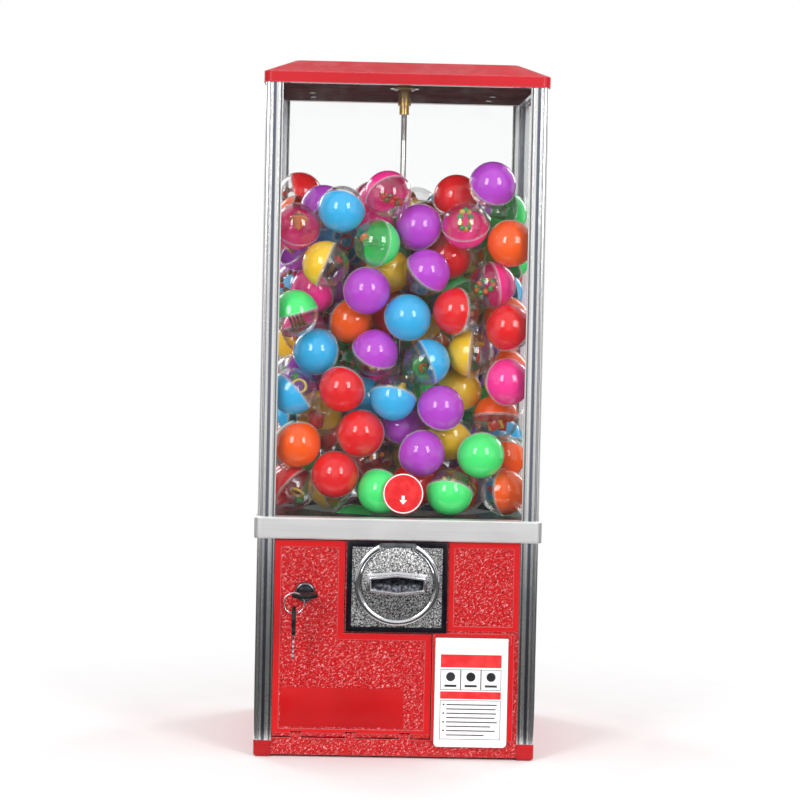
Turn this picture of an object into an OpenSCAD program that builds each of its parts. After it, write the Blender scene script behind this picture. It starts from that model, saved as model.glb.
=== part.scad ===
// Toy-capsule vending machine, in mm. The origin is on the floor under the middle of the cabinet,
// the front faces -Y and +Z is up.

/* [Cabinet] */
// Width and depth over the four corner posts
cab_w = 258; // [257:0.5:259]
// Height of the lid's underside above the floor
rim_z = 618; // [600:1:640]
// Face width of a corner post
post_w = 16; // [15.5:0.5:16]
// Thickness of the clear panes
pane_t = 3; // [2.5:0.25:3]
// Underside of the waist band above the floor
band_z = 201; // [201:0.5:202]
// How far the waist band stands proud of the posts
band_out = 3; // [2:0.5:5]

/* [Lid] */
// How far the lid overhangs the posts
lid_over = 2; // [1.5:0.5:5]
// Height of the lid's upright rim
lid_rim = 10; // [9:0.5:12]
// Rise of the bevelled top above the rim
lid_rise = 12; // [9:1:18]
// Width of the bevel, seen from above
lid_bevel = 28; // [20:1:34]

/* [Capsules] */
// Outside diameter of a capsule
cap_d = 45; // [44:0.5:45.5]
// Number of capsules behind the panes
pile_n = 190; // [20:1:200]
// Seed for how the capsules fell
pile_seed = 29; // [1:1:60]

/* [Coin drive] */
// Height of the knob's axis above the floor
knob_z = 162.5; // [162:0.25:162.75]
// Radius of the knob's disc
knob_r = 32.7; // [31:0.1:33.5]
// Length of the knob's handle
grip_len = 51; // [40:1:58]
// Diameter of the coin the slot takes
coin_d = 25; // [22:0.5:25]

/* [Hidden] */
$fn = 64;

W = cab_w / 2;              // posts' outer faces
I = W - post_w;             // clear opening between the posts
face = W - 2;               // outer faces of the lower panels
skin = 3;                   // thickness of the lower panels
slot = W - 4;               // outer face of a pane, inside the post's front leg
pan_z = 17.5;               // seam between the pan and the panels
foot_h = 15;
band_top = band_z + 20;
lid_w = W + lid_over;
liner_z = rim_z + lid_rim - 2.7;  // underside of the lid's liner, which rests on the rails
floor_z = 181;              // hopper floor that the pocketed capsules rest on
pocket_r = 58;              // from the rod to the middle of a pocket
drop_a = -45;               // direction of the drop hole
gear_r = 88;                // pitch radius of the wheel's pegs
pinion_r = gear_r / 4;      // one turn of the knob moves the wheel by one pocket
door_y = -face + 2.5;       // cash door's hinge axis
door_z = 20.5;
knuckles = [-90, -40, 10];  // middles of the door hinge's fixed knuckles
flap_y = -face - 2.6;       // chute flap's hinge axis
flap_z = 110.5;
lock_x = -84;
lock_z = 152;
key_y = -155;               // where the ring hangs in the key's bow
ring_r = 9.3;
ring_z = lock_z + 1.8 + 0.6 - ring_r + 0.1;
red = [0.82, 0.08, 0.12];
dark = [0.06, 0.06, 0.07];
metal = [0.78, 0.79, 0.81];

// A flat outline drawn in x and z, standing from y to y + t.
module slab(y, t) translate([0, y + t, 0]) rotate([90, 0, 0]) linear_extrude(t) children();

// Something drawn along +Z from the knob's axis, laid along +Y from y.
module on_axis(y) translate([0, y, knob_z]) rotate([-90, 0, 0]) children();

module rod(r, y, t) on_axis(y) cylinder(r = r, h = t);

module block(a, b) translate(a) cube(b - a);

module rounded(w, r) for (k = [0, 1]) rotate(90 * k)
    union() {
        square([2 * w, 2 * (w - r)], center = true);
        for (x = [-1, 1], y = [-1, 1]) translate([x * (w - r), y * (w - r)]) circle(r);
    }

// ---- cabinet ----

module pan_plan(a, b) {
    square([2 * a, 2 * b], center = true);
    square([2 * b, 2 * a], center = true);
}

module base_pan() color(red) {
    difference() {
        translate([0, 0, 2]) linear_extrude(pan_z - 2) pan_plan(face, I);
        translate([0, 0, 4.5]) linear_extrude(pan_z) pan_plan(face - 2.5, I - 2.5);
        for (x = [-110, 110], y = [-90, 90]) translate([x, y, 0]) cylinder(r = 3.3, h = 10);
    }
    // knuckles that carry the cash door's hinge pin
    for (x = knuckles) difference() {
        union() {
            translate([x - 4.7, door_y, door_z]) rotate([0, 90, 0]) cylinder(r = 2.5, h = 9.4);
            block([x - 4.7, door_y - 2.5, pan_z - 4], [x + 4.7, door_y, door_z]);
        }
        translate([x - 6, door_y, door_z]) rotate([0, 90, 0]) cylinder(r = 1.2, h = 12);
    }
}

module base_feet() color(red) for (a = [0:90:270]) rotate(a) hull() {
    translate([0, 0, 1.5]) linear_extrude(foot_h - 1.5) corner_square(0);
    linear_extrude(1.5) corner_square(1.5);
}

// The square that a corner post stands in, rounded outside.
module corner_square(cut) difference() {
    translate([-W + cut, -W + cut]) square(post_w - 2 * cut);
    translate([-W + cut, -W + cut]) difference() {
        square(3.5);
        translate([3.5, 3.5]) circle(3.5);
    }
}

module post() color(metal) translate([0, 0, foot_h]) linear_extrude(rim_z - foot_h) difference() {
    union() {
        translate([-W, -W]) square([post_w, 4]);
        translate([-W, -W]) square([4, post_w]);
        translate([-W, -W]) square(8);
        translate([-W + 4.2 + pane_t, -W + 4.2 + pane_t]) square([post_w - 9.2, 2]);
        translate([-W + 4.2 + pane_t, -W + 4.2 + pane_t]) square([2, post_w - 9.2]);
    }
    translate([-W, -W]) difference() {
        square(3.5);
        translate([3.5, 3.5]) circle(3.5);
    }
    for (g = [4.2, 6, 12.4]) {
        translate([-W + g, -W - 0.1]) square([0.8, 0.7]);
        translate([-W - 0.1, -W + g]) square([0.7, 0.8]);
    }
    translate([-W + 4.6, -W + 4.6]) circle(1.6);
}

module corner_posts() for (a = [0:90:270]) rotate(a) post();

module waist_band() color(metal) difference() {
    hull() {
        translate([0, 0, band_z]) linear_extrude(20) rounded(W + band_out - 1, 5.5, $fn = 48);
        translate([0, 0, band_z + 1]) linear_extrude(18) rounded(W + band_out, 6.5, $fn = 48);
    }
    translate([0, 0, band_z - 1]) linear_extrude(30) square(2 * 114.5, center = true);
    block([-117, -117, band_top - 2.5], [117, 117, band_top + 1]);
    for (a = [0:90:270]) rotate(a) {
        translate([0, 0, band_z - 1]) linear_extrude(30) corner_square(0);
        block([-I - 0.1, -slot, band_top - 4], [I + 0.1, -slot + pane_t, band_top + 1]);
    }
}

module pane_front() color([0.85, 0.93, 0.97, 0.3])
    block([-W + 8.7, -slot, band_top - 3.5], [W - 8.7, -slot + pane_t, rim_z + 6]);
module pane_right() rotate(90) pane_front();
module pane_rear() rotate(180) pane_front();
module pane_left() rotate(270) pane_front();

// A plain lower panel, with the raised border and the tongues that sit in the posts' slots.
module plain_panel() {
    block([-I, -face, pan_z], [I, -face + skin, band_z]);
    for (s = [-1, 1]) scale([s, 1, 1]) block([I - 5, -slot, pan_z], [W - 8.7, -slot + 2.5, band_z]);
    slab(-face - 0.8, 0.8) difference() {
        translate([-I + 0.6, pan_z + 0.6]) square([2 * I - 1.2, band_z - pan_z - 1.2]);
        translate([-I + 6, pan_z + 6]) square([2 * I - 12, band_z - pan_z - 12]);
    }
}

module panel_left() color(red) rotate(270) plain_panel();
module panel_right() color(red) rotate(90) plain_panel();

module panel_rear() color(red) difference() {
    rotate(180) plain_panel();
    screw_spots() cylinder(r = 1.5, h = 20, center = true);
}

module screw_spots() for (x = [-103, 103], z = [30, 190])
    translate([x, face + 0.8, z]) rotate([-90, 0, 0]) children();

module mech_hole(g) {
    translate([-36.5 - g, 126.5]) square([73 + 2 * g, 66]);
    translate([-18 - g, 190]) square([36 + 2 * g, 9.6]);
}

door_outline = [[-I + 0.5, door_z], [33, door_z], [33, 115], [-48, 115], [-48, 199.8],
    [-I + 0.5, 199.8]];
door_field = [[-I + 6.5, 26], [27, 26], [27, 109], [-54, 109], [-54, 193.8], [-I + 6.5, 193.8]];
front_outline = [[33.7, pan_z], [I, pan_z], [I, band_z], [-47.3, band_z], [-47.3, 115.7], [33.7, 115.7]];

module panel_front() color(red) difference() {
    union() {
        slab(-face, skin) difference() {
            polygon(front_outline);
            translate([41, 22]) square([58, 78]);
            mech_hole(0.3);
        }
        block([I - 5, -slot, pan_z], [W - 8.7, -slot + 2.5, band_z]);
        // border round the right field
        slab(-face - 0.8, 0.8) difference() {
            translate([47.5, 118.6]) square([I - 48, band_z - 119.2]);
            translate([52.5, 123]) square([I - 58.5, band_z - 129]);
        }
        // frame round the flap, with the ears for its pin
        slab(-face - 2.5, 2.5) difference() {
            translate([33.7, pan_z]) square([75, 99]);
            translate([36, 0]) square([68, 113.4]);
        }
        for (x = [33.7, 104]) slab(-face - 4.6, 4.6) translate([x, 107]) square([2.3, 8]);
    }
    flap_pin(1);
}

module flap_pin(r) translate([34.6, flap_y, flap_z]) rotate([0, 90, 0]) cylinder(r = r, h = 71);

// Frame of four channels on top of the posts, inside the lid's rim, that caps the panes.
module top_rails() color(metal) difference() {
    translate([0, 0, rim_z]) linear_extrude(liner_z - rim_z) difference() {
        rounded(face - 0.5, 4);
        square(2 * 118.8, center = true);
    }
    for (a = [0:90:270]) rotate(a) block([-W + 8, -slot, rim_z - 1], [W - 8, -slot + pane_t, rim_z + 6]);
}

module cabinet_screws() color(metal) {
    screw_spots() {
        cylinder(r = 3, h = 1.6);
        translate([0, 0, -12]) cylinder(r = 1.5, h = 12);
    }
    for (x = [-30, 30], z = [-30, 22]) translate([x, -105, knob_z + z]) rotate([-90, 0, 0]) {
        cylinder(r = 2.6, h = 1.8);
        translate([0, 0, -7]) cylinder(r = 1.4, h = 7);
    }
}

module hinge_pins() color(metal) {
    translate([-108, door_y, door_z]) rotate([0, 90, 0]) cylinder(r = 1.2, h = 138);
    flap_pin(1);
}

module lock_keeper() color(metal) {
    block([-W + 9.2, -115.5, 138], [-112.6, -113.5, 166]);
    block([-W + 9.2, -115.5, 138], [-W + 10.7, -108, 166]);
    block([-W + 9.2, -119, 138], [-W + 10.7, -115.5, 166]);
}

// ---- globe ----

module hopper() color(dark) difference() {
    union() {
        translate([0, 0, band_top - 2.5]) linear_extrude(2.5) square(2 * 117, center = true);
        translate([0, 0, floor_z - 3]) cylinder(r = 101.5, h = band_top - floor_z + 2);
    }
    translate([0, 0, floor_z]) cylinder(r = 99.5, h = 60);
    rotate(drop_a) translate([pocket_r, 0, 170]) cylinder(r = 25, h = 20);
    block([-21, -93.5, 170], [21, -82.5, 190]);
    cylinder(r = 2.75, h = 300);
}

module centre_rod() color(metal) {
    translate([0, 0, 170]) cylinder(r = 2.75, h = rim_z - 43 - 170);
    translate([0, 0, rim_z - 43]) cylinder(r = 2.6, h = 46);
}

// The stop nut under the lid's lock, the collar over the wheel and the nut under the hopper.
module rod_nuts() color(metal) {
    translate([0, 0, rim_z - 19.4]) nut(4.75, 8, 2.6, 64);
    translate([0, 0, 216]) nut(6, 5, 2.75, 64);
    translate([0, 0, floor_z - 8]) nut(5.8, 5, 2.75, 6);
}

module nut(r, h, bore, sides) difference() {
    cylinder(r = r, h = h, $fn = sides);
    translate([0, 0, -1]) cylinder(r = bore, h = h + 2);
}

module round_sticker() color(red)
    translate([4, -slot, 244]) rotate([90, 0, 0]) cylinder(r = 18.7, h = 0.3);

// Pins, pockets and hub of the wheel that carries capsules to the drop hole.
module capsule_wheel() color([0.85, 0.85, 0.83]) difference() {
    union() {
        translate([0, 0, 212]) cylinder(r = 98, h = 3);
        ring(98, 95, 188, 213);
        ring(98, 83.5, 187.5, 190.5);
        translate([0, 0, floor_z + 0.3]) cylinder(r = 12, h = 32);
        for (k = [0:3]) rotate(90 * k + 45) {
            translate([pocket_r, 0, 187.5]) cylinder(r = 26.5, h = 25);
            block([26.5, -6, 214], [30, 6, 219]);
        }
        for (k = [0:31]) rotate(360 / 32 * (k + 0.5)) translate([0, -gear_r, 182.4]) cylinder(r = 2.5, h = 6);
    }
    for (k = [0:3]) rotate(90 * k + 45) translate([pocket_r, 0, 170]) cylinder(r = 24.5, h = 60);
    translate([0, 0, 170]) cylinder(r = 2.8, h = 60);
}

module ring(r, bore, z0, z1) translate([0, 0, z0]) difference() {
    cylinder(r = r, h = z1 - z0);
    translate([0, 0, -1]) cylinder(r = bore, h = z1 - z0 + 2);
}

module pocket_capsules() color([0.95, 0.3, 0.6]) for (a = [45, 135, 225])
    rotate(a) translate([pocket_r, 0, floor_z + cap_d / 2 + 0.2]) sphere(r = cap_d / 2 - 0.2);

// The pile: each capsule falls at the best of several random spots and rolls on to a lower place.
reach = slot - pane_t - cap_d / 2 - 0.3;
tries = 14;

// Lowest height for a capsule's centre at x, y over the hopper, the pockets and the rod.
function ground(x, y) = let (d = norm([x, y]), off = d - pocket_r)
    d < cap_d / 2 + 3.6 ? 1e6
    : max(band_top + cap_d / 2 + 0.3, abs(off) < cap_d
        ? floor_z + cap_d / 2 + 1 + sqrt(cap_d * cap_d - off * off) : 0);

function rest(x, y, p) = max([ground(x, y), for (q = p) let (dx = x - q.x, dy = y - q.y,
    h = cap_d * cap_d - dx * dx - dy * dy) if (h > 0) q.z + sqrt(h)]);

// Half of the tries are pressed against a pane.
function spot(u, v, w) = w < 0.2 ? [u, -reach] : w < 0.33 ? [-reach, v] : w < 0.46 ? [reach, v]
    : w < 0.56 ? [u, reach] : [u, v];

function lowest(c) = let (low = min([for (q = c) q.z])) [for (q = c) if (q.z == low) q][0];

function hold(v) = max(-reach, min(reach, v));

function rolled(q, p, step) = step < 0.6 ? q
    : let (c = lowest([for (a = [0:60:300])
        let (x = hold(q.x + step * cos(a)), y = hold(q.y + step * sin(a))) [x, y, rest(x, y, p)]]))
    c.z < q.z - 0.01 ? rolled(c, p, step) : rolled(q, p, step / 3);

function fallen(p, k) = k == pile_n ? p
    : let (u = rands(-reach, reach, 2 * tries, pile_seed * 1000 + k),
        w = rands(0, 1, tries, pile_seed * 2000 + k),
        c = [for (i = [0:tries - 1]) let (s = spot(u[2 * i], u[2 * i + 1], w[i]))
            [s.x, s.y, rest(s.x, s.y, p)]])
    fallen(concat(p, [rolled(lowest(c), p, 6)]), k + 1);

// Which colour shows at each place behind the front pane, from the top row down, left to right.
front_tints = ["PBPVPV", "PYGVGO", "GYVVRP", "OBVBYR", "BRBBGP", "OGRVGR", "RRGVGO"];

function tint(q, k) = q.y < -reach + cap_d / 2
    ? front_tints[min(6, max(0, floor((530 - q.z) / 41)))][min(5, max(0, floor((q.x + 120) / 40)))]
    : "PGBRVYO"[(k * 5 + 3) % 7];

module capsules(letter) {
    pile = fallen([], 0);
    for (k = [0:pile_n - 1]) if (tint(pile[k], k) == letter) translate(pile[k]) sphere(r = cap_d / 2 - 0.2);
}

module capsules_blue() color([0.2, 0.62, 0.88]) capsules("B");
module capsules_green() color([0.3, 0.9, 0.45]) capsules("G");
module capsules_purple() color([0.7, 0.25, 0.75]) capsules("V");
module capsules_red() color([0.88, 0.14, 0.16]) capsules("R");
module capsules_pink() color([1, 0.25, 0.6]) capsules("P");
module capsules_yellow() color([0.95, 0.75, 0.15]) capsules("Y");
module capsules_orange() color([0.98, 0.38, 0.08]) capsules("O");

// ---- coin drive ----

module mech_frame() color(dark) slab(-face - 4, 4) difference() {
    translate([-46.2, 116.7]) square([92.4, 83.3]);
    translate([-41.5, 121.5]) square([83, 73.4]);
    translate([-16.5, 194]) square([33, 4.8]);
}

module mech_face() color(metal) {
    difference() {
        slab(-face - 3, 3) difference() {
            translate([-41.5, 121.5]) square([83, 73.4]);
            translate([-16.5, 194.3]) square([33, 4]);
        }
        rod(4.05, -face - 5, 10);
    }
    // guard ring, open at the top where the coin goes in, its tips in front of the frame
    difference() {
        slab(-face - 8, 5.4) difference() {
            translate([0, knob_z]) circle(38.9);
            translate([0, knob_z]) circle(33.9);
            translate([-16.5, knob_z + 25]) square([33, 20]);
        }
        block([-40, -face - 4, 194.8], [40, -face, 205]);
    }
}

module mech_housing() color([0.6, 0.6, 0.62]) difference() {
    slab(-face, 20) mech_hole(0);
    rod(31.6, -face - 1, 8);
    rod(4.05, -face - 1, 30);
    // coin's way in at the top and out at the bottom
    block([-14, -face - 1, knob_z], [14, -face + 7, 205]);
    block([-14, -face + 3.2, 120], [14, -face + 7, knob_z]);
    block([-33, -face + 9, 130], [33, -100, 189]);
    for (x = [-30, 30], z = [-30, 22]) translate([x, -112.4, knob_z + z]) rotate([-90, 0, 0])
        cylinder(r = 1.4, h = 12);
}

module mech_back_plate() color(metal) {
    difference() {
        slab(-face + 20, 2) translate([-36.5, 126.5]) square([73, 66]);
        rod(4.05, -110, 8);
        for (x = [-30, 30], z = [-30, 22]) translate([x, -112.4, knob_z + z]) rotate([-90, 0, 0])
            cylinder(r = 1.4, h = 12);
    }
    // stud that the pawl turns on
    translate([pawl_x, -118.5, knob_z + pawl_z]) rotate([-90, 0, 0]) cylinder(r = 1.5, h = 12);
}

module knob_disc() color(metal) difference() {
    rod(knob_r, -face - 7, 3.5);
    rod(4, -face - 5.5, 5);
}

// Long six-sided grip with a sunken face.
module knob_handle() color(metal) difference() {
    union() {
        slab(-face - 20, 13) grip(0);
        slab(-face - 10, 3) grip(-2);
    }
    slab(-face - 21, 2.5) grip(1.6);
}

module grip(in) translate([0, knob_z]) polygon([for (s = [-1, 1], p = [[-1, 6.4], [0, 9], [1, 6.4]])
    [-s * p.x * (grip_len / 2 - in), -s * (p.y - in)]]);

module drive_shaft() color(metal) rod(4, -face - 5.5, 49);

module coin_wheel() color([0.75, 0.65, 0.35]) difference() {
    rod(31.3, -face + 3, 3.6);
    rod(4, -140, 40);
    on_axis(-140) translate([0, -20.5, 0]) cylinder(r = coin_d / 2 + 0.6, h = 40);
    on_axis(-140) translate([-coin_d / 2 - 0.6, -40, 0]) cube([coin_d + 1.2, 19.5, 40]);
}

teeth = 12;
module ratchet_wheel() color(metal) difference() {
    slab(-118, 3) translate([0, knob_z]) polygon([for (k = [0:teeth - 1], e = [0, 1])
        let (a = 99 + 360 / teeth * k + e, r = e == 0 ? 16 : 13) [r * cos(a), r * sin(a)]]);
    rod(4, -140, 40);
}

pawl_x = -24;
pawl_z = 17;
module ratchet_pawl() color(metal) difference() {
    slab(-118, 3) translate([0, knob_z]) {
        translate([pawl_x, pawl_z]) circle(3.6);
        polygon([[pawl_x, pawl_z + 3.4], [pawl_x, pawl_z - 3.2], [-5.1, 15.9], [-3.2, 16.3], [-3.4, 19]]);
    }
    translate([pawl_x, -120, knob_z + pawl_z]) rotate([-90, 0, 0]) cylinder(r = 1.55, h = 8);
}

tip_r = pinion_r + 2.2;
module drive_pinion() color([0.75, 0.65, 0.35]) difference() {
    slab(-92, 8) translate([0, knob_z]) {
        circle(17.5);
        for (k = [0:7]) rotate(45 * k)
            polygon([[-3.4, 16], [3.4, 16], [1.9, tip_r - 1.2], [0.9, tip_r],
                [-0.9, tip_r], [-1.9, tip_r - 1.2]]);
    }
    rod(4, -140, 60);
}

// ---- chute and cash ----

module chute_tube() color(dark) rotate(drop_a) translate([pocket_r, 0, 0]) ring(27, 25, 112, floor_z - 3);

chute_in = [[15.5, -14], [15.5, -72], [39, -112], [39, -123.9], [101, -123.9], [101, -60], [68, -14]];
chute_out = [[13.5, -12], [13.5, -73], [37, -113], [37, -123.9], [103, -123.9], [103, -59], [69, -12]];

module outlet_chute() color(dark) {
    difference() {
        translate([0, 0, 20]) linear_extrude(92) polygon(chute_out);
        translate([0, 0, 22]) linear_extrude(88) polygon(chute_in);
        block([39, -130, 22], [101, -120, 104]);
        rotate(drop_a) translate([pocket_r, 0, 100]) cylinder(r = 25, h = 20);
    }
    intersection() {
        translate([0, 0, 21]) linear_extrude(80) polygon(chute_in);
        rotate([90, 0, 90]) linear_extrude(110) polygon([[-14, 20], [-14, 84], [-86, 20]]);
    }
}

module coin_box() color([0.6, 0.62, 0.62]) {
    difference() {
        block([-104, -118, 4.5], [11, 96, 100]);
        block([-102.5, -116.5, 6], [9.5, 94.5, 101]);
    }
    slab(-120.5, 2.5) difference() {
        translate([-60, 40]) square([30, 12]);
        translate([-56, 43]) square([22, 6]);
    }
}

// Slide that turns a falling coin back into the box.
module coin_guide() color(metal) rotate([90, 0, 90]) translate([0, 0, -17]) linear_extrude(34)
    polygon([[-123.8, 126.5], [-123.8, 118], [-114, 106], [-113, 107], [-122.6, 118.6], [-122.6, 126.5]]);

module chute_flap() color([0.95, 0.95, 0.93]) difference() {
    union() {
        slab(-face - 4, 2.5) {
            translate([36.5, 16]) square([67, flap_z - 16]);
            translate([40.5, 12]) square([59, 6]);
            for (x = [40.5, 99.5]) translate([x, 16]) circle(4);
        }
        translate([36.5, flap_y, flap_z]) rotate([0, 90, 0]) cylinder(r = 2.2, h = 67);
    }
    translate([30, flap_y, flap_z]) rotate([0, 90, 0]) cylinder(r = 1.05, h = 80);
}

module cash_door() color(red) difference() {
    union() {
        slab(-face, skin) polygon(door_outline);
        translate([-I + 0.5, door_y, door_z]) rotate([0, 90, 0]) cylinder(r = 2.5, h = I + 32.5);
        slab(-face - 0.8, 0.8) difference() {
            polygon([for (p = door_outline) p + [0, p.y < 25 ? 1.6 : 0]]);
            polygon(door_field);
        }
    }
    for (x = knuckles) block([x - 5, -face - 2, door_z - 4], [x + 5, -115, door_z + 3.2]);
    translate([-120, door_y, door_z]) rotate([0, 90, 0]) cylinder(r = 1.25, h = 160);
    translate([lock_x, -140, lock_z]) rotate([-90, 0, 0]) cylinder(r = 8, h = 30);
}

module label_plate() color([0.8, 0.05, 0.1]) block([-105, -face - 0.5, 28], [8, -face, 64]);

module at_lock(y) translate([lock_x, y, lock_z]) rotate([-90, 0, 0]) children();

module lock_body() color(metal) difference() {
    union() {
        at_lock(-face - 3.5) cylinder(r1 = 8.3, r2 = 9.5, h = 1.5);
        at_lock(-face - 2) cylinder(r = 9.5, h = 2);
        at_lock(-face) cylinder(r = 8, h = 13.5);
    }
    at_lock(-140) cylinder(r = 5.55, h = 40);
}

module lock_nut() color(metal) difference() {
    at_lock(-face + skin) cylinder(r = 11.5, h = 3, $fn = 6);
    at_lock(-140) cylinder(r = 8, h = 40);
}

module lock_plug() color(metal) difference() {
    union() {
        at_lock(-face - 3.2) cylinder(r = 5.5, h = 17.2);
        at_lock(-113) cylinder(r = 3, h = 4);
    }
    block([lock_x - 3.4, -140, lock_z - 1.1], [lock_x + 3.4, -114.5, lock_z + 1.1]);
}

module lock_cam() color(metal) difference() {
    slab(-113, 2) {
        translate([lock_x, lock_z]) circle(6);
        translate([lock_x - 5, lock_z]) square([10, 32]);
    }
    at_lock(-120) cylinder(r = 3, h = 20);
}

// Bow, shank and blade of a flat key lying in the x-y plane, its ring hole at the origin.
module flat_key() {
    color(dark) translate([0, 0, -1.75]) linear_extrude(3.5) difference() {
        union() {
            circle(12);
            translate([-5, 0]) square([10, 14]);
        }
        translate([-8, -6.5]) square([16, 5]);
    }
    color(metal) difference() {
        translate([-3.1, 13.5, -0.9]) cube([6.2, 22.3, 1.8]);
        for (k = [0:3]) translate([3.1, 18 + 4.4 * k, -2]) rotate(45) cube([1.5, 1.5, 4]);
    }
}

module door_key() translate([lock_x, key_y + 4, lock_z]) flat_key();

module key_ring() color(metal) translate([lock_x - 9.5, key_y, ring_z]) rotate([90, 0, 0])
    rotate_extrude() translate([ring_r, 0]) circle(0.6, $fn = 24);

// Hangs from the ring, its plane across the ring's.
module spare_key() translate([lock_x - 9.5, key_y, ring_z - ring_r])
    rotate([-90, 0, 0]) rotate([0, 90, 0]) translate([0, 5.4, 0]) flat_key();

// ---- lid ----

// Upright rim and bevelled top, drawn in by a wall and started a little lower for the hollow inside.
module lid_form(wall, lower) hull() {
    translate([0, 0, rim_z - lower]) linear_extrude(lid_rim + lower - wall / 4)
        rounded(lid_w - wall, 8 - wall, $fn = 48);
    translate([0, 0, rim_z + lid_rim + lid_rise - 1 - wall]) linear_extrude(1)
        rounded(lid_w - lid_bevel - wall / 2, 6, $fn = 48);
}

module lid_shell() color(red) difference() {
    lid_form(0, 0);
    lid_form(2.5, 1);
    translate([0, 0, rim_z]) cylinder(r = 9, h = 60);
}

module lid_liner() color([0.6, 0.05, 0.08]) difference() {
    translate([0, 0, liner_z]) linear_extrude(2) rounded(lid_w - 2.5, 5.5, $fn = 48);
    translate([0, 0, rim_z]) cylinder(r = 9, h = 20);
    liner_spots() cylinder(r = 1.5, h = 10, center = true);
}

module liner_spots() for (x = [-90, 90], y = [-88, 88]) translate([x, y, liner_z]) children();

module lid_screws() color(metal) {
    liner_spots() {
        translate([0, 0, -1.5]) cylinder(r = 3, h = 1.5);
        cylinder(r = 1.5, h = 4);
    }
    for (a = [45:90:315]) rotate(a) translate([11.5, 0, liner_z - 3.2]) cylinder(r = 1.7, h = 1.2);
}

// Brass body from its flange up through the lid and down to where it takes the rod's end.
module lid_lock_barrel() color([0.7, 0.58, 0.35]) difference() {
    union() {
        translate([0, 0, rim_z - 11]) cylinder(r = 6.25, h = 20);
        translate([0, 0, liner_z - 2]) cylinder(r = 14, h = 2);
        translate([0, 0, liner_z - 1]) cylinder(r = 9, h = rim_z + lid_rim + lid_rise - liner_z + 1);
        translate([0, 0, rim_z + lid_rim + lid_rise]) cylinder(r = 11, h = 1);
    }
    translate([0, 0, rim_z - 20]) cylinder(r = 3.05, h = 26);
    translate([0, 0, rim_z + 8]) cylinder(r = 6.05, h = 30);
}

module lid_lock_plug() color(metal) difference() {
    translate([0, 0, rim_z + 8.3]) cylinder(r = 6, h = lid_rim + lid_rise - 7.6);
    block([-3.2, -1, rim_z + 13], [3.2, 1, rim_z + 40]);
}

base_pan();
base_feet();
corner_posts();
waist_band();
pane_front();
pane_right();
pane_rear();
pane_left();
panel_left();
panel_right();
panel_rear();
panel_front();
top_rails();
hopper();
centre_rod();
rod_nuts();
chute_tube();
outlet_chute();
coin_box();
coin_guide();
mech_frame();
mech_face();
mech_housing();
mech_back_plate();
cabinet_screws();
hinge_pins();
lock_keeper();
round_sticker();
capsules_blue();
capsules_green();
capsules_purple();
capsules_red();
capsules_pink();
capsules_yellow();
capsules_orange();
pocket_capsules();
capsule_wheel();
knob_disc();
knob_handle();
drive_shaft();
coin_wheel();
ratchet_wheel();
drive_pinion();
ratchet_pawl();
chute_flap();
cash_door();
label_plate();
lock_body();
lock_nut();
lock_plug();
lock_cam();
door_key();
key_ring();
spare_key();
lid_shell();
lid_liner();
lid_screws();
lid_lock_barrel();
lid_lock_plug();
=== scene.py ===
"""Finishes and fine detail of a toy-capsule vending machine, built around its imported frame."""
import logging
import math
import random
from collections.abc import Iterable, Sequence
from dataclasses import dataclass, field
from enum import Enum

import bmesh
import bpy
from mathutils import Matrix, Vector


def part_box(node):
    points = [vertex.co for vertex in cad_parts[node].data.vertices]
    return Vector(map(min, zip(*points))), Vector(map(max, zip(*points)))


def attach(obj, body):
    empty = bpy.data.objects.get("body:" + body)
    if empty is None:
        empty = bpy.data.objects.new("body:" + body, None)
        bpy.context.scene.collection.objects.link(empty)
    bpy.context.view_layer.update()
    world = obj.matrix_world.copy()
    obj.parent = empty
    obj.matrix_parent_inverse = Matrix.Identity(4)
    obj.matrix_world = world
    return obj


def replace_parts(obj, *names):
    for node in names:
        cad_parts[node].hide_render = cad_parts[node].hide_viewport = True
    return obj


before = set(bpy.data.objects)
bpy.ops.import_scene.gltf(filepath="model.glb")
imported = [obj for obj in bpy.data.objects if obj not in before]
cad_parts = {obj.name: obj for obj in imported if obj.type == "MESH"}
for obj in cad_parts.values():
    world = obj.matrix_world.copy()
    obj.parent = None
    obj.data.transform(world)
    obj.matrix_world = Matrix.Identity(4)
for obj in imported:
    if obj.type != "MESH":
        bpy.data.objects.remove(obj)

MM = 0.001
WELD = 0.004 * MM
SLIVER = 0.002 * MM
FLAT_ANGLE = math.radians(0.8)
CORNER_ANGLE = math.radians(35.0)
Colour = tuple[float, float, float, float]
Point = tuple[float, float]
log = logging.getLogger("scene")


def shade(red: int, green: int, blue: int) -> Colour:
    """Turns a display colour, 0 to 255 a channel, into a linear one.

    Args:
        red: Red channel.
        green: Green channel.
        blue: Blue channel.

    Returns:
        The linear colour.
    """
    parts = [c / 255 for c in (red, green, blue)]
    linear = [c / 12.92 if c <= 0.04045 else ((c + 0.055) / 1.055) ** 2.4 for c in parts]
    return (linear[0], linear[1], linear[2], 1.0)


def tone(level: float) -> Colour:
    """A neutral linear grey."""
    return (level, level, level, 1.0)


def dimmed(colour: Colour, share: float) -> Colour:
    """A colour with only a share of its light."""
    return (colour[0] * share, colour[1] * share, colour[2] * share, 1.0)


# ---- shader graphs ----


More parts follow.
